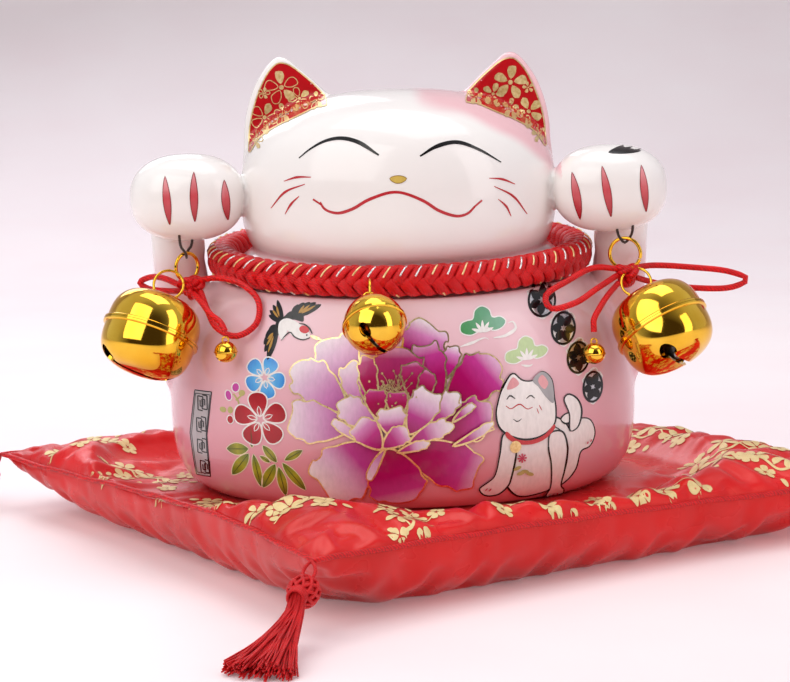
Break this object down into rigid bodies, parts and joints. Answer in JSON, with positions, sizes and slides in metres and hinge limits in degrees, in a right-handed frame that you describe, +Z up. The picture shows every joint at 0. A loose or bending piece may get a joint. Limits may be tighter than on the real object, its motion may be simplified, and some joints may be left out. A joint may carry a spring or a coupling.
{
  "type": "beckoning cat figurine",
  "caption": "Hollow glazed ceramic beckoning cat with both paws raised, a braided collar with a jingle bell, hanging bells on satin bows, seated on a square tasselled satin cushion.",
  "frame": {"origin": "on the floor under the cat's upright axis, at the underside of the cushion", "axes": "+Z up, the cat faces -Y, +X is to the viewer's right when facing the cat"},
  "size_m": [0.5306, 0.5306, 0.2154],
  "materials": {
    "glaze": "clear gloss glaze, white head and paws, pink body, painted and gilt decoration",
    "bung_rubber": "matt",
    "pellet_steel": "plain",
    "black_thread": "waxed thread",
    "gold_plate": "bright gold plating",
    "fibre_filling": "loose polyester fibre",
    "red_satin": "satin, the top woven with cream and gold blossom",
    "tassel_silk": "silky thread",
    "braided_cord": "plaited cord with metallic thread",
    "satin_cord": "round satin cord"
  },
  "bodies": {
    "cushion": {"cushion_top_panel": "red_satin", "cushion_bottom_panel": "red_satin", "cushion_filling": "fibre_filling"},
    "cat": {"cat_body": "glaze", "collar_rope": "braided_cord", "collar_binding": "braided_cord", "left_thread_loop": "black_thread", "right_thread_loop": "black_thread"},
    "stopper": {"base_stopper": "bung_rubber"},
    "collar_ring": {"collar_bell_ring": "gold_plate"},
    "collar_bell": {"collar_bell_upper": "gold_plate", "collar_bell_lower": "gold_plate"},
    "collar_pellet": {"collar_bell_pellet": "pellet_steel"},
    "front_tassel": {"front_tassel_loop": "tassel_silk", "front_tassel_head": "tassel_silk", "front_tassel_skirt": "tassel_silk"},
    "right_tassel": {"right_tassel_loop": "tassel_silk", "right_tassel_head": "tassel_silk", "right_tassel_skirt": "tassel_silk"},
    "back_tassel": {"back_tassel_loop": "tassel_silk", "back_tassel_head": "tassel_silk", "back_tassel_skirt": "tassel_silk"},
    "left_tassel": {"left_tassel_loop": "tassel_silk", "left_tassel_head": "tassel_silk", "left_tassel_skirt": "tassel_silk"},
    "left_hanger": {"left_ring": "gold_plate", "left_bow_knot": "satin_cord", "left_bow_back_loop": "satin_cord", "left_bow_round_loop": "satin_cord", "left_bow_tail": "satin_cord"},
    "left_bell": {"left_bell_upper": "gold_plate", "left_bell_lower": "gold_plate"},
    "left_pellet": {"left_bell_pellet": "pellet_steel"},
    "left_small_bell": {"left_small_bell_shell": "gold_plate"},
    "left_small_pellet": {"left_small_bell_pellet": "pellet_steel"},
    "right_hanger": {"right_ring": "gold_plate", "right_bow_knot": "satin_cord", "right_bow_long_loop": "satin_cord", "right_bow_flat_loop": "satin_cord", "right_bow_tail": "satin_cord"},
    "right_bell": {"right_bell_upper": "gold_plate", "right_bell_lower": "gold_plate"},
    "right_pellet": {"right_bell_pellet": "pellet_steel"},
    "right_small_bell": {"right_small_bell_shell": "gold_plate"},
    "right_small_pellet": {"right_small_bell_pellet": "pellet_steel"}
  },
  "joints": [
    {"name": "cat_lift", "type": "slide", "parent": "cushion", "child": "cat", "axis": [0, 0, 1], "range_m": [0, 0.09]},
    {"name": "stopper_pull", "type": "slide", "parent": "cat", "child": "stopper", "axis": [0, 0, 1], "range_m": [-0.045, 0]},
    {"name": "collar_ring_turn", "type": "hinge", "parent": "cat", "child": "collar_ring", "pos_m": [-0.013, -0.07444, 0.11758], "axis": [0, 1, 0], "range_deg": [-3, 3]},
    {"name": "front_tassel_swing", "type": "hinge", "parent": "cushion", "child": "front_tassel", "pos_m": [-0.03608, -0.18794, 0.02108], "axis": [-0.9336, 0.3584, 0], "range_deg": [0, 50]},
    {"name": "right_tassel_swing", "type": "hinge", "parent": "cushion", "child": "right_tassel", "pos_m": [0.21494, -0.03108, 0.01355], "axis": [-0.3584, -0.9336, 0], "range_deg": [0, 50]},
    {"name": "back_tassel_swing", "type": "hinge", "parent": "cushion", "child": "back_tassel", "pos_m": [0.05808, 0.21994, 0.01826], "axis": [0.9336, -0.3584, 0], "range_deg": [0, 50]},
    {"name": "left_tassel_swing", "type": "hinge", "parent": "cushion", "child": "left_tassel", "pos_m": [-0.19294, 0.06308, 0.02579], "axis": [0.3584, 0.9336, 0], "range_deg": [0, 50]},
    {"name": "collar_bell_swing", "type": "hinge", "parent": "collar_ring", "child": "collar_bell", "pos_m": [-0.01347, -0.08011, 0.11642], "axis": [1, 0, 0], "range_deg": [-28, 0]},
    {"name": "collar_pellet_roll", "type": "hinge", "parent": "collar_bell", "child": "collar_pellet", "pos_m": [-0.0113, -0.0905, 0.1066], "axis": [1, 0, 0], "range_deg": [-35, 35]},
    {"name": "left_hanger_swing", "type": "hinge", "parent": "cat", "child": "left_hanger", "pos_m": [-0.0928, -0.0335, 0.1306], "axis": [1, 0, 0], "range_deg": [-14, 0]},
    {"name": "left_bell_swing", "type": "hinge", "parent": "left_hanger", "child": "left_bell", "pos_m": [-0.091, -0.0363, 0.1174], "axis": [0, 1, 0], "range_deg": [0, 8]},
    {"name": "left_pellet_roll", "type": "hinge", "parent": "left_bell", "child": "left_pellet", "pos_m": [-0.1079, -0.051, 0.0988], "axis": [1, 0, 0], "range_deg": [-30, 30]},
    {"name": "left_small_bell_swing", "type": "hinge", "parent": "left_hanger", "child": "left_small_bell", "pos_m": [-0.0751, -0.0634, 0.1014], "axis": [1, 0, 0], "range_deg": [-30, 0]},
    {"name": "left_small_pellet_roll", "type": "hinge", "parent": "left_small_bell", "child": "left_small_pellet", "pos_m": [-0.075, -0.0635, 0.0924], "axis": [1, 0, 0], "range_deg": [-30, 30]},
    {"name": "right_hanger_swing", "type": "hinge", "parent": "cat", "child": "right_hanger", "pos_m": [0.098, -0.033, 0.1328], "axis": [1, 0, 0], "range_deg": [-22, 0]},
    {"name": "right_bell_swing", "type": "hinge", "parent": "right_hanger", "child": "right_bell", "pos_m": [0.10214, -0.03964, 0.11504], "axis": [0, 1, 0], "range_deg": [-6, 0]},
    {"name": "right_pellet_roll", "type": "hinge", "parent": "right_bell", "child": "right_pellet", "pos_m": [0.112, -0.05, 0.0968], "axis": [1, 0, 0], "range_deg": [-30, 30]},
    {"name": "right_small_bell_swing", "type": "hinge", "parent": "right_hanger", "child": "right_small_bell", "pos_m": [0.0821, -0.0572, 0.0964], "axis": [1, 0, 0], "range_deg": [-30, 0]},
    {"name": "right_small_pellet_roll", "type": "hinge", "parent": "right_small_bell", "child": "right_small_pellet", "pos_m": [0.082, -0.0575, 0.0872], "axis": [1, 0, 0], "range_deg": [-30, 30]}
  ],
  "couplings": [
    {"joint": "stopper_pull", "follows": "cat_lift", "ratio": -0.5}
  ]
}
